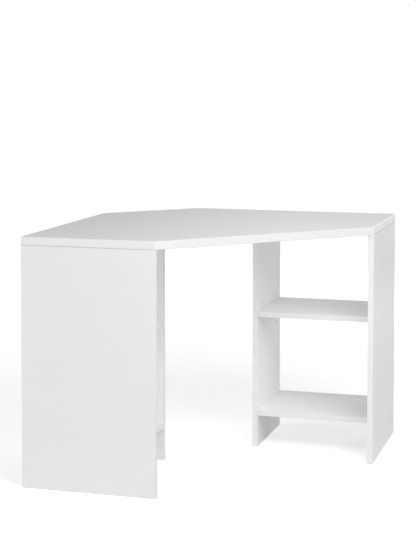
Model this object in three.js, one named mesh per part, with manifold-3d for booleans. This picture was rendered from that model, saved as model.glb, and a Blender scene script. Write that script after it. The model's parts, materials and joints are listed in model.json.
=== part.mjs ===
// A flat-pack corner desk. Millimetres, +Z up.
//
// The desk stands in a room's corner. Its footprint is a square with two opposite corners cut off: the
// wall corner, at -X +Y, and the user's corner, at +X -Y. The right unit stands along the wall at +Y
// and the left unit along the wall at -X. The origin is on the floor, at the centre of the square.
//
// The left unit is the right unit mirrored in the desk's diagonal, which swaps (x, y) for (-y, -x).

import * as THREE from 'three';
import { mergeVertices } from 'three/addons/utils/BufferGeometryUtils.js';
import Module from 'manifold-3d';

// Driving dimensions

const deskHeight = 745;
const wallSide = 950; // length of the square's sides
const endWidth = 415; // depth of the desktop at its two ends
const cornerCut = 256; // legs of the cut at the wall corner
const topThickness = 25;
const boardThickness = 18;

const unitWidth = 415; // from the outer upright's outer face to the inner upright's
const innerDepth = 310; // depth of the inner uprights and of the shelves' bay
const shelfSetback = 1; // from the inner upright's front edge to the shelves'
const lowerShelfTop = 120;
const upperShelfTop = 445;
const looseShelfPlay = 0.5; // at each end of an upper shelf

const arris = 1.5; // rounding of the boards' edges
const gap = 0.3; // between two pieces that touch

// Drilling pattern: columns and rows on a 32 mm grid

const columnInset = 59; // from the wall, and from an inner upright's front edge
const pinRowPitch = 32;
const pinRowCount = 4;
const pinRowLowest = 370;
const pinRowUsed = 2; // counted from the lowest row, which is 0

const pin = { diameter: 5, length: 18, seated: 9, chamfer: 0.6 };
const pinHoleDepth = 11;
const groove = { width: 6, length: 13 }; // in an upper shelf's underside, over each pin

// Cam fitting: a bolt screwed into one board, and a cam in the other that draws its head in

const cam = { diameter: 15, height: 13.2, recess: 3.2, setback: 24 };
const camHousingDepth = 13.5;
const bolt = {
  threadDiameter: 5,
  threadLength: 11,
  collarDiameter: 7,
  collarLength: 2,
  shankDiameter: 4.4,
  headDiameter: 6.6,
  headLength: 5,
};
const boltBoreDiameter = 8;
const topFittingInset = 50; // from the wall, and from the upright's front edge

// Dowel: its shallow end sits in the board that is drilled in its face

const dowel = { diameter: 8, length: 30, shallow: 12, chamfer: 1 };

// Derived dimensions

const half = wallSide / 2;
const underTop = deskHeight - topThickness;
const innerFront = half - innerDepth;
const outerFront = half - endWidth;
const bayLeft = half - unitWidth + boardThickness;
const bayRight = half - boardThickness;
const bayWidth = bayRight - bayLeft;
const shelfDepth = innerDepth - shelfSetback;
const pinHeight = pinRowLowest + pinRowUsed * pinRowPitch;
const columns = {
  rear: half - columnInset,
  front: innerFront + columnInset,
};
const columnMiddle = (columns.rear + columns.front) / 2;

// Materials

const laminate = { color: 0xe9eae7, roughness: 0.28, metalness: 0 };
const steel = { color: 0xb4b6b8, roughness: 0.35, metalness: 1 };
const zinc = { color: 0x9c9fa2, roughness: 0.45, metalness: 0.9 };
const beech = { color: 0xcda878, roughness: 0.75, metalness: 0 };

function piece(name, geometry, finish) {
  const mesh = new THREE.Mesh(geometry, new THREE.MeshStandardMaterial(finish));
  mesh.name = name;
  return mesh;
}

// Cutting

const wasm = await Module();
wasm.setup();

function toSolid(geometry) {
  const bare = geometry.clone();
  bare.deleteAttribute('normal');
  bare.deleteAttribute('uv');
  const merged = mergeVertices(bare, 1e-4);
  return new wasm.Manifold(new wasm.Mesh({
    numProp: 3,
    vertProperties: new Float32Array(merged.attributes.position.array),
    triVerts: new Uint32Array(merged.index.array),
  }));
}

function toGeometry(solid) {
  const mesh = solid.getMesh();
  const geometry = new THREE.BufferGeometry();
  geometry.setAttribute('position', new THREE.BufferAttribute(mesh.vertProperties, 3));
  geometry.setIndex(new THREE.BufferAttribute(mesh.triVerts, 1));
  geometry.computeVertexNormals();
  return geometry;
}

function cut(geometry, tools) {
  let solid = toSolid(geometry);
  for (const tool of tools) {
    solid = solid.subtract(toSolid(tool));
  }
  return toGeometry(solid);
}

// Cuts a board with tools that are given in its parent's frame.
function machine(board, tools) {
  board.updateMatrix();
  const toBoard = board.matrix.clone().invert();
  const turned = tools.map((tool) => tool.clone().applyMatrix4(toBoard));
  board.geometry = cut(board.geometry, turned);
}

// Boards: an outline with rounded arrises, lying flat from z = 0 up to its thickness

function boardGeometry(points, thickness) {
  const outline = new THREE.Shape(points.map(([x, y]) => new THREE.Vector2(x, y)));
  const geometry = new THREE.ExtrudeGeometry(outline, {
    depth: thickness - 2 * arris,
    bevelThickness: arris,
    bevelSize: arris,
    bevelOffset: -arris,
    bevelSegments: 2,
  });
  return geometry.translate(0, 0, arris);
}

function rectangle(width, depth) {
  return [[0, 0], [width, 0], [width, depth], [0, depth]];
}

// A board on edge. Its depth runs from the wall to the front and its thickness towards -X.
function makeUpright(name, rightFace, depth) {
  const outline = rectangle(depth, underTop - gap);
  const upright = piece(name, boardGeometry(outline, boardThickness), laminate);
  upright.rotation.set(Math.PI / 2, 0, -Math.PI / 2, 'ZYX');
  upright.position.set(rightFace, half, 0);
  return upright;
}

function makeShelf(name, top, play) {
  const outline = rectangle(bayWidth - 2 * play, shelfDepth);
  const shelf = piece(name, boardGeometry(outline, boardThickness), laminate);
  shelf.position.set(bayLeft + play, half - shelfDepth, top - boardThickness);
  return shelf;
}

function makeDesktop() {
  const outline = [
    [-half, -half],
    [-half + endWidth, -half],
    [half, half - endWidth],
    [half, half],
    [-half + cornerCut, half],
    [-half, half - cornerCut],
  ];
  const desktop = piece('desktop', boardGeometry(outline, topThickness), laminate);
  desktop.position.z = underTop;
  return desktop;
}

// Bores. A bore starts a little outside the face, so that its mouth is cut clean.

const overshoot = 1;

function bore(diameter, depth, place, sides) {
  const length = depth + overshoot;
  const tool = new THREE.CylinderGeometry(diameter / 2, diameter / 2, length, sides);
  return tool.translate(0, length / 2 - overshoot, 0).applyMatrix4(place);
}

// A place has its origin on the joint's plane. Its Y runs into one board and its Z across it.
function place(origin, into, across) {
  const y = new THREE.Vector3(...into);
  const z = new THREE.Vector3(...across);
  const x = new THREE.Vector3().crossVectors(y, z);
  return new THREE.Matrix4().makeBasis(x, y, z).setPosition(...origin);
}

const turnedBack = new THREE.Matrix4().makeRotationX(Math.PI);
const acrossBoard = new THREE.Matrix4().makeRotationX(-Math.PI / 2);

// A pin with chamfered ends, from y = 0 up

function roundBar({ diameter, length, chamfer }, sides) {
  const radius = diameter / 2 - gap;
  const profile = [
    [0, 0],
    [radius - chamfer, 0],
    [radius, chamfer],
    [radius, length - chamfer],
    [radius - chamfer, length],
    [0, length],
  ];
  return new THREE.LatheGeometry(profile.map(([x, y]) => new THREE.Vector2(x, y)), sides);
}

// Fittings. Each gives its pieces, the bores that it needs in the board drilled in its face, and those
// in the board drilled in its end.

function makeBolt(name) {
  const thread = bolt.threadDiameter / 2 - gap;
  const collar = bolt.collarDiameter / 2;
  const shank = bolt.shankDiameter / 2;
  const head = bolt.headDiameter / 2;
  const headStart = cam.setback - bolt.headLength / 2;
  const headEnd = cam.setback + bolt.headLength / 2;
  const profile = [
    [0, -bolt.threadLength],
    [thread, -bolt.threadLength],
    [thread, gap],
    [collar, gap],
    [collar, bolt.collarLength],
    [shank, bolt.collarLength],
    [shank, headStart],
    [head, headStart],
    [head, headEnd],
    [0, headEnd],
  ];
  return piece(name, new THREE.LatheGeometry(profile.map(([x, y]) => new THREE.Vector2(x, y)), 8), steel);
}

// The cam is a disc with its axis on Z, open on the bolt's side to let the head in and round it.
function makeCam(name) {
  const mouth = bolt.headDiameter + 2 * gap;
  const radius = cam.diameter / 2 - gap;
  const floor = camHousingDepth - boardThickness / 2 - gap;
  const body = new THREE.CylinderGeometry(radius, radius, cam.height - gap, 16);
  body.rotateX(Math.PI / 2).translate(0, 0, (cam.height - gap) / 2 - floor);
  const pocket = new THREE.BoxGeometry(mouth, radius + bolt.headLength, mouth);
  pocket.translate(0, bolt.headLength / 2 + gap - (radius + bolt.headLength) / 2, 0);
  const slot = new THREE.BoxGeometry(cam.diameter * 0.6, 2, 2 * cam.recess);
  const crossSlot = slot.clone().rotateZ(Math.PI / 2);
  const faceHeight = cam.height - gap - floor;
  const recess = [slot, crossSlot].map((tool) => tool.translate(0, 0, faceHeight));
  return piece(name, cut(body, [pocket, ...recess]), zinc);
}

function camFitting(boltName, camName, at) {
  const camPlace = at.clone().multiply(new THREE.Matrix4().makeTranslation(0, cam.setback, 0));
  const housing = camPlace.clone()
    .multiply(new THREE.Matrix4().makeTranslation(0, 0, boardThickness / 2))
    .multiply(acrossBoard);
  const camPiece = makeCam(camName);
  camPiece.position.y = cam.setback;
  const pieces = new THREE.Group().add(makeBolt(boltName), camPiece);
  pieces.applyMatrix4(at);
  return {
    pieces,
    faceBores: [bore(bolt.threadDiameter, bolt.threadLength + 1, at.clone().multiply(turnedBack), 8)],
    endBores: [
      bore(boltBoreDiameter, cam.setback, at, 8),
      bore(cam.diameter, camHousingDepth, housing, 16),
    ],
  };
}

function dowelFitting(name, at) {
  const deep = dowel.length - dowel.shallow;
  const dowelPiece = piece(name, roundBar(dowel, 8), beech);
  dowelPiece.position.y = -dowel.shallow;
  const pieces = new THREE.Group().add(dowelPiece);
  pieces.applyMatrix4(at);
  return {
    pieces,
    faceBores: [bore(dowel.diameter, dowel.shallow + 1, at.clone().multiply(turnedBack), 8)],
    endBores: [bore(dowel.diameter, deep + 1, at, 8)],
  };
}

// The fittings between an upright and the desktop. openTo is the side, -1 or 1 along X, of the cams.
function topFittings(prefix, upright, rightFace, front, openTo) {
  const middle = rightFace - boardThickness / 2;
  const rows = { rear: half - topFittingInset, front: front + topFittingInset };
  const at = (y) => place([middle, y, underTop], [0, 0, -1], [openTo, 0, 0]);
  const fittings = Object.entries(rows).map(([row, y]) => (
    camFitting(`${prefix}_top_bolt_${row}`, `${prefix}_top_cam_${row}`, at(y))
  ));
  fittings.push(dowelFitting(`${prefix}_top_dowel`, at((rows.rear + rows.front) / 2)));
  machine(upright, fittings.flatMap((fitting) => fitting.endBores));
  return fittings;
}

// The fittings between one end of the lower shelf and its upright. into is the way into the shelf.
function lowerShelfFittings(prefix, upright, shelf, face, into) {
  const height = lowerShelfTop - boardThickness / 2;
  const at = (y) => place([face, y, height], [into, 0, 0], [0, 0, -1]);
  const fittings = Object.entries(columns).map(([column, y]) => (
    camFitting(`${prefix}_bolt_${column}`, `${prefix}_cam_${column}`, at(y))
  ));
  fittings.push(dowelFitting(`${prefix}_dowel`, at(columnMiddle)));
  machine(upright, fittings.flatMap((fitting) => fitting.faceBores));
  machine(shelf, fittings.flatMap((fitting) => fitting.endBores));
  return fittings;
}

// The pin holes in an upright, and the pins and grooves at one end of the upper shelf.
function upperShelfPins(prefix, upright, shelf, face, into) {
  const holes = [];
  const grooves = [];
  const pins = [];
  for (const [column, y] of Object.entries(columns)) {
    for (let row = 0; row < pinRowCount; row += 1) {
      const height = pinRowLowest + row * pinRowPitch;
      holes.push(bore(pin.diameter, pinHoleDepth, place([face, y, height], [-into, 0, 0], [0, 0, 1]), 8));
    }
    const shelfPin = piece(`${prefix}_${column}`, roundBar(pin, 8), steel);
    shelfPin.applyMatrix4(place([face - into * pin.seated, y, pinHeight], [into, 0, 0], [0, 0, 1]));
    pins.push(shelfPin);

    const ceiling = pinHeight + pin.diameter / 2;
    const floor = upperShelfTop - boardThickness - overshoot;
    const grooveTool = new THREE.BoxGeometry(2 * groove.length, groove.width, ceiling - floor);
    grooves.push(grooveTool.translate(face, y, (ceiling + floor) / 2));
  }
  machine(upright, holes);
  machine(shelf, grooves);
  return pins;
}

// One shelf unit, standing along the wall at +Y

function makeUnit(side) {
  const unit = new THREE.Group();
  const outer = makeUpright(`${side}_outer_upright`, half, endWidth);
  const inner = makeUpright(`${side}_inner_upright`, bayLeft, innerDepth);
  const lowerShelf = makeShelf(`${side}_lower_shelf`, lowerShelfTop, gap);
  const upperShelf = makeShelf(`${side}_upper_shelf`, upperShelfTop, looseShelfPlay);

  const toDesktop = [
    ...topFittings(`${side}_outer`, outer, half, outerFront, -1),
    ...topFittings(`${side}_inner`, inner, bayLeft, innerFront, -1),
  ];
  const toShelf = [
    ...lowerShelfFittings(`${side}_shelf_outer`, outer, lowerShelf, bayRight, -1),
    ...lowerShelfFittings(`${side}_shelf_inner`, inner, lowerShelf, bayLeft, 1),
  ];
  const pins = [
    ...upperShelfPins(`${side}_shelf_pin_outer`, outer, upperShelf, bayRight, -1),
    ...upperShelfPins(`${side}_shelf_pin_inner`, inner, upperShelf, bayLeft, 1),
  ];

  unit.add(outer, inner, lowerShelf, upperShelf, ...pins);
  unit.add(...toDesktop.concat(toShelf).map((fitting) => fitting.pieces));
  const desktopBores = toDesktop.flatMap((fitting) => fitting.faceBores);
  return { unit, desktopBores };
}

const right = makeUnit('right');
const left = makeUnit('left');
left.unit.rotation.z = -Math.PI / 2;
left.unit.scale.y = -1;
left.unit.updateMatrix();

// Mirroring a bore's tool turns its faces inside out, so each triangle is turned back.
function mirrored(tool) {
  const turned = tool.clone().applyMatrix4(left.unit.matrix);
  const corners = turned.index.array;
  for (let i = 0; i < corners.length; i += 3) {
    [corners[i + 1], corners[i + 2]] = [corners[i + 2], corners[i + 1]];
  }
  return turned;
}

const desktop = makeDesktop();
machine(desktop, [...right.desktopBores, ...left.desktopBores.map(mirrored)]);

const desk = new THREE.Group();
desk.add(desktop, right.unit, left.unit);

export default desk;
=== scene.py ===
"""A flat-pack corner desk: a six-sided desktop on two open shelf units.

Metres, +Z up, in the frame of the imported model. Every board is shown as it is made: a core of chipboard
with laminate on its two faces, and bands on the edges that show. The fittings inside are shown too.

The left unit is the right unit mirrored in the desk's diagonal. A unit's own directions are "along" its
wall, from the inner upright to the outer one, and "back" to its wall.
"""

import json
import math

import bmesh
import bpy
from mathutils import Matrix, Vector

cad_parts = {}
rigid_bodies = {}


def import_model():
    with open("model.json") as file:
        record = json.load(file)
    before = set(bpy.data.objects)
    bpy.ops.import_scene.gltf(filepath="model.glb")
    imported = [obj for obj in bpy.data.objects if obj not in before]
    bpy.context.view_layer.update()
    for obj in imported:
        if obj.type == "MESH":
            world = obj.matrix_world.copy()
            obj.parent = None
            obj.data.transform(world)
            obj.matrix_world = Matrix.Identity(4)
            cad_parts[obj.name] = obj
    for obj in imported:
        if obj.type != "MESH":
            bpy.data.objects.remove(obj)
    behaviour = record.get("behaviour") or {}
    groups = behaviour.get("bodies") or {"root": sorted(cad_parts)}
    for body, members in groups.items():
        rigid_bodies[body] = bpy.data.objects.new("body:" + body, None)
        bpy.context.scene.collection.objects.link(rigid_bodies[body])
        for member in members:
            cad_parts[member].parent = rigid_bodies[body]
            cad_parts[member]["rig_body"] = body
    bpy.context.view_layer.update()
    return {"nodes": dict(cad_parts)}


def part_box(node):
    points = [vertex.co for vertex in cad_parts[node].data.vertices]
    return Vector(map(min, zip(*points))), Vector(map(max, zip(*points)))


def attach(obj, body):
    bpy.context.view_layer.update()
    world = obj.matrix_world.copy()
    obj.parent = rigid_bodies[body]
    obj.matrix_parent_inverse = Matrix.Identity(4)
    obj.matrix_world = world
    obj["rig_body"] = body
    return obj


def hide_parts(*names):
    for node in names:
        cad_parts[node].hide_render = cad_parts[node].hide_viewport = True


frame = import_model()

# Boards

BAND = 0.002  # thickness of an edge band
BAND_ROUNDING = 0.0016
SEAM = 0.00008  # chamfer on each side of the seam between a band and its core
CORNER_CUT = 0.256  # legs of the desktop's cut at the wall corner
ROUNDING_STEPS = 5
BAND_SHARPNESS = 32  # edges of a band that turn by more than this angle stay sharp
TINY = 1e-6  # smaller differences don't count

# Drilling

PIN_PITCH = 0.032
PIN_ROWS = (-2, -1, 0, 1)  # counted from the row that the shelf rests on
PIN_HOLE = {"radius": 0.0026, "depth": 0.011}
GROOVE = {"width": 0.006, "length": 0.013, "ceiling": 0.0028}  # ceiling is above the pin's middle
BOLT_HOLE = {"radius": 0.0025, "depth": 0.012}
BOLT_BORE = {"radius": 0.004, "depth": 0.024}
CAM_HOUSING = {"radius": 0.0075, "depth": 0.0135}
DOWEL_FACE_BORE = {"radius": 0.004, "depth": 0.013}
DOWEL_END_BORE = {"radius": 0.004, "depth": 0.019}
RIM = 0.00025  # chamfer on a bore's mouth
BORE_SEGMENTS = 32
OVERSHOOT = 0.001  # how far a tool starts outside the face that it cuts
CLEARANCE = 0.0003  # from a bolt's collar to its board, and from a cam's face to its board's face

# Fittings. Heights are from the joint's plane, into the board that is drilled in its end.

FITTING_SHARPNESS = 40  # the same for the edges of a fitting
END_STEPS = 4  # steps of a rounded end's quarter circle
BOLT = {
    "segments": 24,
    "thread_rows": 44,
    "tip_rows": 6,  # rows of the thread over which its root widens from the tip
    "thread_length": 0.011,
    "thread_pitch": 0.0025,
    "thread_base": 0.625,  # width of the thread at its root, as a part of the pitch
    "thread_root": 0.0015,
    "thread_crest": 0.0022,
    "thread_start": 0.002,  # how far from the tip the thread has its full height
    "thread_end": 0.0005,
    "tip_radius": 0.0007,
    "collar_radius": 0.0035,
    "collar_top": 0.002,
    "shank_radius": 0.0022,
    "shank_top": 0.019,
    "neck_radius": 0.0017,
    "neck_bottom": 0.0196,
    "neck_top": 0.0215,
    "head_radius": 0.0033,
    "head_middle": 0.024,
    "head_length": 0.005,
    "head_rounding": 0.0012,
    "edge": 0.0002,
    "cross": {"reach": 0.0019, "half_width": 0.0004},
    "cross_depth": 0.0015,
}
CAM = {
    "segments": 48,
    "radius": 0.0072,
    "below": 0.0042,  # from the bolt's axis to the cam's closed face
    "above": 0.0087,  # from the bolt's axis to the face with the cross
    "edge": 0.0005,
    "rim": 0.0016,  # width of the raised rim round the face
    "sunk": 0.0004,  # depth of the face below its rim
    "rim_slope": 0.0003,  # width of the rim's inner side
    "mouth": {"radius": 0.0036, "start": -0.009, "end": 0.0028, "segments": 24},  # along the bolt's axis
    "slot": {"inner": 0.0042, "outer": 0.0085, "half_height": 0.0021, "start": -90, "end": 75, "steps": 16},
    "cross": {"reach": 0.0042, "half_width": 0.0007},
    "cross_depth": 0.0034,
    "arrow": {"reach": 0.0062, "radius": 0.0006, "depth": 0.0003},  # a triangle; reach is from the middle
}
PIN = {"segments": 32, "radius": 0.0022, "length": 0.018, "seated": 0.009, "rounding": 0.0007}
PIN_NECK = {"half_width": 0.0006, "slope": 0.0003, "depth": 0.0002}
DOWEL = {"radius": 0.0037, "length": 0.030, "shallow": 0.012}
DOWEL_END = {"chamfer": 0.0012, "cut": 0.0009}  # length of the chamfer, and how far it narrows the end
FLUTES = {"count": 20, "depth": 0.00026, "run_out": 0.0003, "segments": 6}  # segments are for each flute

X, Y, Z = (Vector(axis) for axis in ((1, 0, 0), (0, 1, 0), (0, 0, 1)))
UNITS = {"right": {"along": X, "back": Y}, "left": {"along": -Y, "back": -X}}
UPRIGHTS = ("outer", "inner")
COLUMNS = ("front", "rear")


# Mesh helpers


def link(name, bm, materials):
    """A new object with this mesh."""
    bmesh.ops.recalc_face_normals(bm, faces=bm.faces)
    mesh = bpy.data.meshes.new(name)
    bm.to_mesh(mesh)
    bm.free()
    for material in materials:
        mesh.materials.append(material)
    made = bpy.data.objects.new(name, mesh)
    bpy.context.scene.collection.objects.link(made)
    return made


def settle(made):
    """Applies an object's modifiers."""
    depsgraph = bpy.context.evaluated_depsgraph_get()
    finished = bpy.data.meshes.new_from_object(made.evaluated_get(depsgraph), depsgraph=depsgraph)
    finished.name = made.name
    rough = made.data
    made.modifiers.clear()
    made.data = finished
    bpy.data.meshes.remove(rough)


def smooth(made, sharpness):
    """Smooth shading over rounded edges, with flat faces kept flat and edges over the angle kept sharp."""
    made.data.shade_smooth()
    made.data.set_sharp_from_angle(angle=math.radians(sharpness))
    weighted = made.modifiers.new("weighted", "WEIGHTED_NORMAL")
    weighted.keep_sharp = True
    settle(made)


def carve(made, cutters):
    """Cuts the tools out of an object. What they leave has the object's last material."""
    tools = bmesh.new()
    for cutter in cutters:
        mesh = bpy.data.meshes.new("tool")
        cutter.to_mesh(mesh)
        cutter.free()
        tools.from_mesh(mesh)
        bpy.data.meshes.remove(mesh)
    for face in tools.faces:
        face.material_index = len(made.data.materials) - 1
    tool = link("tool", tools, made.data.materials)
    cut = made.modifiers.new("cut", "BOOLEAN")
    cut.object = tool
    cut.operation = "DIFFERENCE"
    cut.solver = "EXACT"
    cut.use_self = True  # some tools overlap, such as a cam's housing and its bolt's bore
    settle(made)
    bpy.data.objects.remove(tool)


def frame_at(origin, up, side):
    """A matrix whose Z is up and whose Y is side."""
    rotation = Matrix((side.cross(up), side, up)).transposed().to_4x4()
    return Matrix.Translation(origin) @ rotation


def box_mesh(low, high):
    bm = bmesh.new()
    bmesh.ops.create_cube(bm, size=1)
    for vert in bm.verts:
        vert.co = Vector((low[i] if vert.co[i] < 0 else high[i]) for i in range(3))
    return bm


def lathe(profile, segments, ridge=None):
    """A solid of revolution about Z. The profile is (radius, z) from the axis back to the axis.
    ridge(z, angle) is added to each radius off the axis."""
    bm = bmesh.new()
    rings = []
    for radius, z in profile:
        if radius == 0:
            rings.append([bm.verts.new((0, 0, z))])
            continue
        ring = []
        for k in range(segments):
            angle = math.tau * k / segments
            reach = radius + (ridge(z, angle) if ridge else 0)
            ring.append(bm.verts.new((reach * math.cos(angle), reach * math.sin(angle), z)))
        rings.append(ring)
    for low, high in zip(rings, rings[1:]):
        for k in range(segments):
            following = (k + 1) % segments
            corners = [low[k % len(low)], low[following % len(low)]]
            corners += [high[following % len(high)], high[k % len(high)]]
            bm.faces.new(list(dict.fromkeys(corners)))
    return bm


def raise_face(bm, face, height):
    """Extrudes a flat face up or down to a height."""
    raised = bmesh.ops.extrude_face_region(bm, geom=[face])["geom"]
    for item in raised:
        if isinstance(item, bmesh.types.BMVert):
            item.co.z = height


def arc(centre, radius, start, end, steps):
    """Points of an arc in the plane, with its angles in degrees."""
    points = []
    for k in range(steps + 1):
        angle = math.radians(start + (end - start) * k / steps)
        points.append((centre[0] + radius * math.cos(angle), centre[1] + radius * math.sin(angle)))
    return points


def bore(place, radius, depth):
    """A drill's path from the place's origin along its Z, with the edge of its mouth broken."""
    mouth = radius + RIM + OVERSHOOT
    profile = [(0, -OVERSHOOT), (mouth, -OVERSHOOT), (radius, RIM), (radius, depth), (0, depth)]
    bm = lathe(profile, BORE_SEGMENTS)
    bm.transform(place)
    return bm


# Materials


def new_material(name):
    material = bpy.data.materials.new(name)
    material.use_nodes = True
    return material, material.node_tree, material.node_tree.nodes["Principled BSDF"]


def texture(tree, kind, scale, **inputs):
    """A texture node on the object's own coordinates. scale is one number, or one for each axis."""
    coordinates = tree.nodes.new("ShaderNodeTexCoord")
    node = tree.nodes.new(kind)
    source = coordinates.outputs["Object"]
    if not isinstance(scale, (int, float)):
        mapping = tree.nodes.new("ShaderNodeMapping")
        mapping.inputs["Scale"].default_value = scale
        tree.links.new(source, mapping.inputs["Vector"])
        source = mapping.outputs["Vector"]
        scale = 1
    tree.links.new(source, node.inputs["Vector"])
    node.inputs["Scale"].default_value = scale
    for name, value in inputs.items():
        node.inputs[name].default_value = value
    return node


def ramp(tree, source, stops):
    """A colour ramp. The stops are (position, colour)."""
    node = tree.nodes.new("ShaderNodeValToRGB")
    elements = node.color_ramp.elements
    while len(elements) < len(stops):
        elements.new(0.5)
    for element, (position, colour) in zip(elements, stops):
        element.position = position
        element.color = (*colour, 1)
    tree.links.new(source, node.inputs["Fac"])
    return node.outputs["Color"]


def spread(tree, source, low, high):
    """Maps 0..1 to low..high."""
    node = tree.nodes.new("ShaderNodeMapRange")
    node.inputs["To Min"].default_value = low
    node.inputs["To Max"].default_value = high
    tree.links.new(source, node.inputs["Value"])
    return node.outputs["Result"]


def add_bump(tree, shader, source, height, under=None):
    """A bump of this height in metres, on top of another one if it is given."""
    node = tree.nodes.new("ShaderNodeBump")
    node.inputs["Distance"].default_value = height
    tree.links.new(source, node.inputs["Height"])
    if under:
        tree.links.new(under, node.inputs["Normal"])
    tree.links.new(node.outputs["Normal"], shader.inputs["Normal"])
    return node.outputs["Normal"]


def laminate_material():
    """White melamine laminate: a fine pearl texture on a surface that isn't perfectly flat."""
    material, tree, shader = new_material("white_laminate")
    tint = texture(tree, "ShaderNodeTexNoise", scale=9, Detail=3)
    whites = [(0.3, (0.873, 0.873, 0.87)), (0.7, (0.884, 0.884, 0.881))]
    colour = ramp(tree, tint.outputs["Fac"], whites)
    tree.links.new(colour, shader.inputs["Base Color"])
    pearl = texture(tree, "ShaderNodeTexNoise", scale=1100, Detail=2, Roughness=0.4)
    tree.links.new(spread(tree, pearl.outputs["Fac"], low=0.28, high=0.4), shader.inputs["Roughness"])
    wave = texture(tree, "ShaderNodeTexNoise", scale=14, Detail=1)
    under = add_bump(tree, shader, wave.outputs["Fac"], height=0.0002)
    add_bump(tree, shader, pearl.outputs["Fac"], height=0.000006, under=under)
    return material


def band_material():
    """Edge band: extruded plastic of nearly the laminate's white, with a faint fine grain."""
    material, tree, shader = new_material("edge_band")
    tint = texture(tree, "ShaderNodeTexNoise", scale=15, Detail=2)
    whites = [(0.3, (0.874, 0.874, 0.872)), (0.7, (0.885, 0.885, 0.883))]
    colour = ramp(tree, tint.outputs["Fac"], whites)
    tree.links.new(colour, shader.inputs["Base Color"])
    grain = texture(tree, "ShaderNodeTexNoise", scale=700, Detail=3)
    tree.links.new(spread(tree, grain.outputs["Fac"], low=0.3, high=0.42), shader.inputs["Roughness"])
    add_bump(tree, shader, grain.outputs["Fac"], height=0.000008)
    return material


def chipboard_material():
    """Raw chipboard, where a board is sawn or drilled: pressed chips."""
    material, tree, shader = new_material("chipboard")
    chips = texture(tree, "ShaderNodeTexVoronoi", scale=420, Randomness=1)
    browns = [(0.1, (0.13, 0.105, 0.08)), (0.5, (0.29, 0.24, 0.18)), (0.9, (0.44, 0.37, 0.29))]
    tree.links.new(ramp(tree, chips.outputs["Color"], browns), shader.inputs["Base Color"])
    shader.inputs["Roughness"].default_value = 0.85
    add_bump(tree, shader, chips.outputs["Distance"], height=0.0003)
    return material


def metal_material(name, colour, roughness, grain_scale, grain_height):
    """A metal with a mottled surface."""
    material, tree, shader = new_material(name)
    shader.inputs["Metallic"].default_value = 1
    grain = texture(tree, "ShaderNodeTexNoise", scale=grain_scale, Detail=4)
    darker = tuple(0.85 * channel for channel in colour)
    shade = ramp(tree, grain.outputs["Fac"], [(0.35, darker), (0.65, colour)])
    tree.links.new(shade, shader.inputs["Base Color"])
    mottled = spread(tree, grain.outputs["Fac"], low=0.8 * roughness, high=1.2 * roughness)
    tree.links.new(mottled, shader.inputs["Roughness"])
    add_bump(tree, shader, grain.outputs["Fac"], height=grain_height)
    return material


def beech_material():
    """Raw beech with its grain along the dowel."""
    material, tree, shader = new_material("beech")
    grain = texture(tree, "ShaderNodeTexNoise", scale=(900, 900, 60), Detail=4)
    shade = ramp(tree, grain.outputs["Fac"], [(0.3, (0.42, 0.25, 0.12)), (0.7, (0.68, 0.47, 0.27))])
    tree.links.new(shade, shader.inputs["Base Color"])
    shader.inputs["Roughness"].default_value = 0.7
    add_bump(tree, shader, grain.outputs["Fac"], height=0.00008)
    return material


LAMINATE = laminate_material()
EDGE_BAND = band_material()
CHIPBOARD = chipboard_material()
NICKEL = metal_material(
    "nickel", colour=(0.66, 0.63, 0.58), roughness=0.22, grain_scale=1500, grain_height=0.000004
)
STEEL = metal_material(
    "zinc_plated_steel", colour=(0.62, 0.63, 0.64), roughness=0.34, grain_scale=900, grain_height=0.000008
)
ZINC = metal_material(
    "cast_zinc", colour=(0.46, 0.47, 0.48), roughness=0.46, grain_scale=600, grain_height=0.00003
)
BEECH = beech_material()


# Places of the fittings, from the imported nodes


def axis_of(way):
    """The positive axis that a direction lies along."""
    return Vector(abs(part) for part in way)


def into_bay(unit, which):
    """The direction from an upright into its unit."""
    return -unit["along"] if which == "outer" else unit["along"]


def end_of(node, into):
    """The middle of a node's end, on the side that into points away from."""
    low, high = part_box(node)
    middle = (low + high) / 2
    reach = (high - low).dot(axis_of(into)) / 2
    return middle - into * reach


def fittings():
    """Every bolt, cam and dowel: its node, kind, place, and the boards drilled in the face and in the end.
    A place's Z runs into the board drilled in its end, and its Y out of that board's open face."""
    rows = []
    for side, unit in UNITS.items():
        for which in UPRIGHTS:
            upright = f"{side}_{which}_upright"
            joints = (
                (f"{side}_{which}_top", -Z, -unit["along"], "desktop", upright),
                (f"{side}_shelf_{which}", into_bay(unit, which), -Z, upright, f"{side}_lower_shelf"),
            )
            for prefix, into, across, face_board, end_board in joints:
                for column in COLUMNS:
                    bolt = f"{prefix}_bolt_{column}"
                    origin = end_of(bolt, into) + into * BOLT["thread_length"]
                    place = frame_at(origin, into, across)
                    rows.append((bolt, "bolt", place, face_board, end_board))
                    rows.append((f"{prefix}_cam_{column}", "cam", place, face_board, end_board))
                dowel = f"{prefix}_dowel"
                origin = end_of(dowel, into) + into * DOWEL["shallow"]
                rows.append((dowel, "dowel", frame_at(origin, into, across), face_board, end_board))
    return rows


def shelf_pins():
    """Every shelf pin: its node, its place, its upright and its shelf. Its Z runs out of the upright."""
    rows = []
    for side, unit in UNITS.items():
        for which in UPRIGHTS:
            out = into_bay(unit, which)
            for column in COLUMNS:
                node = f"{side}_shelf_pin_{which}_{column}"
                place = frame_at(end_of(node, out), out, Z)
                rows.append((node, place, f"{side}_{which}_upright", f"{side}_upper_shelf"))
    return rows


FITTINGS = fittings()
PINS = shelf_pins()


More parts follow.
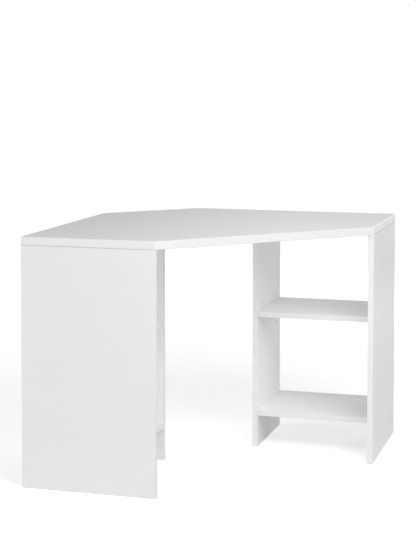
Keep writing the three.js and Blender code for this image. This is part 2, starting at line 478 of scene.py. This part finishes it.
def cutters_for(board):
    """The tools that drill and groove a board."""
    turned_back = Matrix.Rotation(math.pi, 4, "Y")
    cutters = []
    for _, kind, place, face_board, end_board in FITTINGS:
        if kind == "bolt" and face_board == board:
            cutters.append(bore(place @ turned_back, **BOLT_HOLE))
        if kind == "bolt" and end_board == board:
            cutters.append(bore(place, **BOLT_BORE))
        if kind == "cam" and end_board == board:
            cutters.append(bore(cam_mouth(place), **CAM_HOUSING))
        if kind == "dowel" and face_board == board:
            cutters.append(bore(place @ turned_back, **DOWEL_FACE_BORE))
        if kind == "dowel" and end_board == board:
            cutters.append(bore(place, **DOWEL_END_BORE))
    for _, place, upright, shelf in PINS:
        mouth = place @ Matrix.Translation((0, 0, PIN["seated"]))
        if upright == board:
            for row in PIN_ROWS:
                raised = Matrix.Translation(Z * row * PIN_PITCH) @ mouth
                cutters.append(bore(raised @ turned_back, **PIN_HOLE))
        if shelf == board:
            cutters.append(groove(mouth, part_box(board)[0].z))
    return cutters


def cam_mouth(place):
    """Where the housing of a cam starts on its board's open face."""
    surface = Matrix.Translation((0, CAM["above"] + CLEARANCE, BOLT["head_middle"]))
    return place @ surface @ Matrix.Rotation(math.pi / 2, 4, "X")


def groove(mouth, underside):
    """The slot in a shelf's underside over a pin, from below the shelf up to the pin's top."""
    half = GROOVE["width"] / 2
    middle = mouth.translation.z
    low = (-half, underside - OVERSHOOT - middle, -GROOVE["length"])
    high = (half, GROOVE["ceiling"], GROOVE["length"])
    bm = box_mesh(low, high)
    bm.transform(mouth)
    return bm


# Boards


def show(made, body, slot_name, *nodes):
    """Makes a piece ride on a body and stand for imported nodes."""
    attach(made, body)
    if nodes:
        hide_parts(*nodes)


def body_of(node):
    return frame["nodes"][node]["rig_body"]


def bare_edges(bm, thick):
    """Gives every face that doesn't look along plus or minus thick the second material."""
    bm.normal_update()
    for face in bm.faces:
        face.material_index = 0 if abs(face.normal.dot(thick)) > 1 - TINY else 1


def make_board(node, thick, deep):
    """A straight board: its core, drilled, and a band on its front and rear edges.
    thick and deep are the axes across its faces and across its banded edges."""
    low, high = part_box(node)
    inner_low, inner_high = low + deep * BAND, high - deep * BAND
    bm = box_mesh(inner_low, inner_high)
    bare_edges(bm, thick)
    bmesh.ops.bevel(bm, geom=bm.edges, offset=SEAM, segments=1, affect="EDGES")
    core = link(f"{node}_core", bm, [LAMINATE, CHIPBOARD])
    carve(core, cutters_for(node))
    show(core, body_of(node), "white_laminate", node)
    ends = {"low": (low, inner_low), "high": (inner_high, high)}
    for end, (near, far) in ends.items():
        corner_low = Vector(near[i] if deep[i] else low[i] for i in range(3))
        corner_high = Vector(far[i] if deep[i] else high[i] for i in range(3))
        outward = deep if end == "high" else -deep
        make_strip(f"{node}_band_{end}", corner_low, corner_high, outward, body_of(node))


def make_strip(name, low, high, outward, body):
    """A straight edge band, rounded on its outer side."""
    bm = box_mesh(low, high)
    middle = (low + high) / 2

    def at_height(edge, height):
        """Whether an edge lies this far out from the band's middle."""
        return all(abs((vert.co - middle).dot(outward) - height) < TINY for vert in edge.verts)

    for height, offset, segments in ((BAND / 2, BAND_ROUNDING, ROUNDING_STEPS), (-BAND / 2, SEAM, 1)):
        rim = [edge for edge in bm.edges if at_height(edge, height)]
        bmesh.ops.bevel(bm, geom=rim, offset=offset, segments=segments, profile=0.5, affect="EDGES")
    strip = link(name, bm, [EDGE_BAND])
    smooth(strip, BAND_SHARPNESS)
    show(strip, body, "white_laminate")


def outline_at(corners, inset, radius):
    """A convex outline moved inwards, with its corners rounded so that the outer one has this radius."""
    points = []
    count = len(corners)
    for k, here in enumerate(corners):
        before = (here - corners[k - 1]).normalized()
        after = (corners[(k + 1) % count] - here).normalized()
        normals = [Vector((-way.y, way.x)) for way in (before, after)]
        mitre = (normals[0] + normals[1]) / (1 + normals[0].dot(normals[1]))
        centre = here + mitre * max(inset, radius)
        reach = max(radius - inset, 0)
        start = math.atan2(-normals[0].y, -normals[0].x)
        turn = normals[0].angle(normals[1])
        for step in range(ROUNDING_STEPS + 1):
            angle = start + turn * step / ROUNDING_STEPS
            points.append(centre + Vector((math.cos(angle), math.sin(angle))) * reach)
    return points


def desktop_corners():
    """The desktop's six corners, anticlockwise."""
    low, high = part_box("desktop")
    end_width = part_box("right_outer_upright")[1].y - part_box("right_outer_upright")[0].y
    corners = [
        (low.x, low.y),
        (low.x + end_width, low.y),
        (high.x, high.y - end_width),
        (high.x, high.y),
        (low.x + CORNER_CUT, high.y),
        (low.x, high.y - CORNER_CUT),
    ]
    return [Vector(corner) for corner in corners]


def make_desktop():
    """The desktop: its core, drilled, and a band all round it."""
    low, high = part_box("desktop")
    corners = desktop_corners()
    bm = bmesh.new()
    sharp_outline = outline_at(corners, BAND, 0)[:: ROUNDING_STEPS + 1]
    rim = [bm.verts.new((*point, low.z)) for point in sharp_outline]
    raise_face(bm, bm.faces.new(rim), high.z)
    bare_edges(bm, Z)
    bmesh.ops.bevel(bm, geom=bm.edges, offset=SEAM, segments=1, affect="EDGES")
    core = link("desktop_core", bm, [LAMINATE, CHIPBOARD])
    carve(core, cutters_for("desktop"))
    show(core, body_of("desktop"), "white_laminate", "desktop")

    height = high.z - low.z
    rounding = BAND_ROUNDING
    profile = [(BAND, SEAM), (BAND - SEAM, 0)]
    profile += arc((rounding, rounding), rounding, 270, 180, steps=ROUNDING_STEPS)
    profile += arc((rounding, height - rounding), rounding, 180, 90, steps=ROUNDING_STEPS)
    profile += [(BAND - SEAM, height), (BAND, height - SEAM)]
    bm = bmesh.new()
    loops = []
    for inset, z in profile:
        loops.append([bm.verts.new((*point, low.z + z)) for point in outline_at(corners, inset, BAND)])
    for this, following in zip(loops, loops[1:] + loops[:1]):
        for k in range(len(this)):
            after = (k + 1) % len(this)
            bm.faces.new((this[k], this[after], following[after], following[k]))
    bmesh.ops.remove_doubles(bm, verts=bm.verts, dist=TINY)
    band = link("desktop_band", bm, [EDGE_BAND])
    smooth(band, BAND_SHARPNESS)
    show(band, body_of("desktop"), "white_laminate")


# Fittings


def thread_ridge(z, angle):
    """Height of the bolt's thread over its root: a helix that fades out at the tip and at the collar."""
    length = BOLT["thread_length"]
    if not -length < z < 0:
        return 0
    turn = (z / BOLT["thread_pitch"] - angle / math.tau) % 1
    flank = max(0, 1 - 2 * abs(turn - 0.5) / BOLT["thread_base"])
    fade = min(1, (z + length) / BOLT["thread_start"], -z / BOLT["thread_end"])
    return (BOLT["thread_crest"] - BOLT["thread_root"]) * flank * fade


def make_bolt(node, place):
    """A connecting bolt: screw thread, collar, shank, neck and rounded head with a cross recess."""
    length, rows = BOLT["thread_length"], BOLT["thread_rows"]
    profile = [(0, -length), (BOLT["tip_radius"], -length)]
    for k in range(1, rows + 1):
        taper = min(1, (1 + k / BOLT["tip_rows"]) / 2)
        profile.append((BOLT["thread_root"] * taper, -length * (1 - k / rows)))

    collar, shank, neck = BOLT["collar_radius"], BOLT["shank_radius"], BOLT["neck_radius"]
    top, edge = BOLT["collar_top"], BOLT["edge"]
    profile += [(neck, CLEARANCE), (collar - edge, CLEARANCE), (collar, CLEARANCE + edge)]
    profile += [(collar, top - edge), (collar - edge, top), (shank, top)]
    profile += [(shank, BOLT["shank_top"]), (neck, BOLT["neck_bottom"]), (neck, BOLT["neck_top"])]

    rounding = BOLT["head_rounding"]
    rim = BOLT["head_radius"] - rounding
    half_length = BOLT["head_length"] / 2
    low, high = BOLT["head_middle"] - half_length, BOLT["head_middle"] + half_length
    profile += arc((rim, low + rounding), rounding, 270, 360, steps=END_STEPS)
    profile += arc((rim, high - rounding), rounding, 0, 90, steps=END_STEPS)
    profile.append((0, high))

    bolt = link(f"{node}_shown", lathe(profile, BOLT["segments"], ridge=thread_ridge), [STEEL])
    carve(bolt, cross(**BOLT["cross"], low=high - BOLT["cross_depth"], high=high + OVERSHOOT))
    bolt.data.transform(place)
    smooth(bolt, FITTING_SHARPNESS)
    show(bolt, body_of(node), "steel", node)


def cross(reach, half_width, low, high):
    """The tools of a cross recess about Z."""
    along_x = box_mesh((-reach, -half_width, low), (reach, half_width, high))
    along_y = box_mesh((-half_width, -reach, low), (half_width, reach, high))
    return [along_x, along_y]


def make_cam(node, place):
    """A cam: a cast disc with a cross recess, an arrow towards its bolt, and a slot for the bolt's head."""
    radius, below, above, edge = CAM["radius"], CAM["below"], CAM["above"], CAM["edge"]
    face, sunk = radius - CAM["rim"], above - CAM["sunk"]
    profile = [(0, -below), (radius - edge, -below), (radius, edge - below), (radius, above - edge)]
    profile += [(radius - edge, above), (face, above), (face - CAM["rim_slope"], sunk), (0, sunk)]
    cam = link(f"{node}_shown", lathe(profile, CAM["segments"]), [ZINC])

    mouth = cylinder(**CAM["mouth"])
    mouth.transform(Matrix.Rotation(-math.pi / 2, 4, "X"))
    slot = ring_sector(**CAM["slot"])
    recess = cross(**CAM["cross"], low=above - CAM["cross_depth"], high=above + OVERSHOOT)
    arrow = cylinder(CAM["arrow"]["radius"], start=-CAM["arrow"]["depth"], end=OVERSHOOT, segments=3)
    pointing = Matrix.Rotation(-math.pi / 2, 4, "Z")
    arrow.transform(Matrix.Translation((0, -CAM["arrow"]["reach"], above)) @ pointing)
    carve(cam, [mouth, slot, *recess, arrow])

    # The cam's own Z is the way out of the board, and its Y the way into it.
    turned = Matrix(((-1, 0, 0, 0), (0, 0, 1, 0), (0, 1, 0, BOLT["head_middle"]), (0, 0, 0, 1)))
    cam.data.transform(place @ turned)
    smooth(cam, FITTING_SHARPNESS)
    show(cam, body_of(node), "zinc", node)


def cylinder(radius, start, end, segments):
    """A cylinder about Z."""
    return lathe([(0, start), (radius, start), (radius, end), (0, end)], segments)


def ring_sector(inner, outer, half_height, start, end, steps):
    """Part of a flat ring about Z, between two angles in degrees."""
    outline = arc((0, 0), outer, start, end, steps) + arc((0, 0), inner, end, start, steps)
    bm = bmesh.new()
    base = bm.faces.new([bm.verts.new((x, y, -half_height)) for x, y in outline])
    raise_face(bm, base, half_height)
    return bm


def make_dowel(node, place):
    """A fluted beech dowel with chamfered ends."""
    radius, chamfer, depth = DOWEL["radius"], DOWEL_END["chamfer"], FLUTES["depth"]
    low, high = -DOWEL["shallow"], DOWEL["length"] - DOWEL["shallow"]

    def flutes(z, angle):
        fluted = low + chamfer < z < high - chamfer
        return -depth * (1 + math.cos(FLUTES["count"] * angle)) / 2 if fluted else -depth

    half = [(0, low), (radius - DOWEL_END["cut"], low)]
    half += [(radius, low + chamfer), (radius, low + chamfer + FLUTES["run_out"])]
    profile = half + [(reach, low + high - z) for reach, z in reversed(half)]
    turned = lathe(profile, segments=FLUTES["count"] * FLUTES["segments"], ridge=flutes)
    dowel = link(f"{node}_shown", turned, [BEECH])
    dowel.matrix_world = place
    smooth(dowel, FITTING_SHARPNESS)
    show(dowel, body_of(node), "beech", node)


def make_pin(node, place):
    """A turned shelf pin with rounded ends and a shallow groove where it leaves the upright."""
    radius, length, rounding = PIN["radius"], PIN["length"], PIN["rounding"]
    middle, wide = PIN["seated"], PIN_NECK["half_width"]
    narrow = wide - PIN_NECK["slope"]
    neck = radius - PIN_NECK["depth"]
    profile = [(0, 0)]
    profile += arc((radius - rounding, rounding), rounding, 270, 360, steps=END_STEPS)
    profile += [(radius, middle - wide), (neck, middle - narrow)]
    profile += [(neck, middle + narrow), (radius, middle + wide)]
    profile += arc((radius - rounding, length - rounding), rounding, 0, 90, steps=END_STEPS)
    profile.append((0, length))
    pin = link(f"{node}_shown", lathe(profile, PIN["segments"]), [NICKEL])
    pin.data.transform(place)
    smooth(pin, FITTING_SHARPNESS)
    show(pin, body_of(node), "nickel", node)


make_desktop()
for side, unit in UNITS.items():
    deep = axis_of(unit["back"])
    for which in UPRIGHTS:
        make_board(f"{side}_{which}_upright", axis_of(unit["along"]), deep)
    for level in ("lower", "upper"):
        make_board(f"{side}_{level}_shelf", Z, deep)

MAKERS = {"bolt": make_bolt, "cam": make_cam, "dowel": make_dowel}
for node, kind, place, _, _ in FITTINGS:
    MAKERS[kind](node, place)
for node, place, _, _ in PINS:
    make_pin(node, place)


# Studio


def from_angles(azimuth, elevation, distance):
    """A point round the desk. Azimuth 0 is in front, at -Y, and 90 at +X."""
    a, e = math.radians(azimuth), math.radians(elevation)
    return distance * Vector((math.sin(a) * math.cos(e), -math.cos(a) * math.cos(e), math.sin(e)))


def aim(made, target):
    made.rotation_mode = "QUATERNION"
    made.rotation_quaternion = (target - made.location).to_track_quat("-Z", "Y")


CAMERA_PLACE = Vector((1.243, -4.374, 1.252))
CAMERA_AIM = Vector((-0.0423, 0, 0.9965))
LENS = 94.2
SHIFT = -0.24

WHITE = (1, 1, 1, 1)
LIGHTS_AIM = Vector((0, 0, 0.4))
LIGHTS = {
    # name: azimuth, elevation, distance, width, height, power
    "key": (50, 35, 4.0, 2.0, 2.0, 31),
    "near": (40, 45, 2.3, 1.4, 1.4, 17),
    "front": (0, 5, 4.0, 2.0, 1.0, 12),
    "left": (-75, 8, 4.0, 2.0, 2.0, 81),
    "rear": (150, 15, 4.0, 2.0, 2.0, 38),
}
ROOM = 0.36  # brightness of the studio all round
GLOW = {"azimuth": 192, "elevation": 12, "tightness": 150, "strength": 0.84}  # a soft patch behind the desk

FLOOR_RADIUS = 14
FLOOR_SEGMENTS = 96
FLOOR_DROP = 0.0002  # from the desk's feet down to the floor
FLOOR_GLOW = 0.03  # what the floor gives to the desk
FLOOR_FADE = {"From Min": 1.0, "From Max": 4.0, "To Min": 0.38, "To Max": 0.7}  # what it shows besides


def make_camera():
    """A long lens a little above the desktop's height, with the lens shifted down as for furniture."""
    data = bpy.data.cameras.new("camera")
    data.lens = LENS
    data.shift_y = SHIFT
    camera = bpy.data.objects.new("camera", data)
    bpy.context.scene.collection.objects.link(camera)
    camera.location = CAMERA_PLACE
    aim(camera, CAMERA_AIM)
    bpy.context.scene.camera = camera


def make_lights():
    for name, (azimuth, elevation, distance, width, height, power) in LIGHTS.items():
        data = bpy.data.lights.new(name, "AREA")
        data.shape = "RECTANGLE"
        data.size = width
        data.size_y = height
        data.energy = power
        light = bpy.data.objects.new(name, data)
        bpy.context.scene.collection.objects.link(light)
        light.location = LIGHTS_AIM + from_angles(azimuth, elevation, distance)
        aim(light, LIGHTS_AIM)


def calculate(tree, operation, *values):
    """A Math node. Each value is a number or a socket."""
    node = tree.nodes.new("ShaderNodeMath")
    node.operation = operation
    for socket, value in zip(node.inputs, values):
        if isinstance(value, (int, float)):
            socket.default_value = value
        else:
            tree.links.new(value, socket)
    return node.outputs["Value"]


def make_world():
    """Soft light from all round, with a brighter patch, in front of a white backdrop."""
    world = bpy.data.worlds.new("studio")
    world.use_nodes = True
    tree = world.node_tree
    towards = tree.nodes.new("ShaderNodeVectorMath")
    towards.operation = "DOT_PRODUCT"
    towards.inputs[1].default_value = from_angles(GLOW["azimuth"], GLOW["elevation"], 1)
    tree.links.new(tree.nodes.new("ShaderNodeTexCoord").outputs["Generated"], towards.inputs[0])
    facing = calculate(tree, "MAXIMUM", towards.outputs["Value"], 0)
    patch = calculate(tree, "POWER", facing, GLOW["tightness"])
    light = tree.nodes["Background"]
    light.inputs["Color"].default_value = WHITE
    strength = calculate(tree, "MULTIPLY_ADD", patch, GLOW["strength"], ROOM)
    tree.links.new(strength, light.inputs["Strength"])
    backdrop = tree.nodes.new("ShaderNodeBackground")
    backdrop.inputs["Color"].default_value = WHITE
    seen = tree.nodes.new("ShaderNodeLightPath")
    mix = tree.nodes.new("ShaderNodeMixShader")
    tree.links.new(seen.outputs["Is Camera Ray"], mix.inputs[0])
    tree.links.new(light.outputs[0], mix.inputs[1])
    tree.links.new(backdrop.outputs[0], mix.inputs[2])
    tree.links.new(mix.outputs[0], tree.nodes["World Output"].inputs["Surface"])
    bpy.context.scene.world = world


def floor_material():
    """A pale floor, lit from below like a light table: a little near the desk, and more with distance,
    so that it meets the backdrop without a line. The desk itself gets only the even part of that light."""
    material, tree, shader = new_material("studio_floor")
    dust = texture(tree, "ShaderNodeTexNoise", scale=30, Detail=4)
    colour = ramp(tree, dust.outputs["Fac"], [(0.3, (0.8, 0.8, 0.8)), (0.7, (0.82, 0.82, 0.82))])
    tree.links.new(colour, shader.inputs["Base Color"])
    shader.inputs["Roughness"].default_value = 0.9
    shader.inputs["Emission Color"].default_value = WHITE
    distance = tree.nodes.new("ShaderNodeVectorMath")
    distance.operation = "LENGTH"
    tree.links.new(tree.nodes.new("ShaderNodeTexCoord").outputs["Object"], distance.inputs[0])
    fade = tree.nodes.new("ShaderNodeMapRange")
    fade.interpolation_type = "SMOOTHSTEP"
    for name, value in FLOOR_FADE.items():
        fade.inputs[name].default_value = value
    tree.links.new(distance.outputs["Value"], fade.inputs["Value"])
    seen = tree.nodes.new("ShaderNodeLightPath").outputs["Is Camera Ray"]
    glow = calculate(tree, "MULTIPLY_ADD", seen, fade.outputs["Result"], FLOOR_GLOW)
    tree.links.new(glow, shader.inputs["Emission Strength"])
    return material


def make_floor():
    bm = bmesh.new()
    bmesh.ops.create_circle(bm, cap_ends=True, radius=FLOOR_RADIUS, segments=FLOOR_SEGMENTS)
    bmesh.ops.translate(bm, verts=bm.verts, vec=-FLOOR_DROP * Z)
    link("studio_floor", bm, [floor_material()])


make_camera()
make_lights()
make_world()
make_floor()
bpy.context.scene.view_settings.view_transform = "Standard"
bpy.context.scene.cycles.diffuse_bounces = 12  # white boards light each other many times over
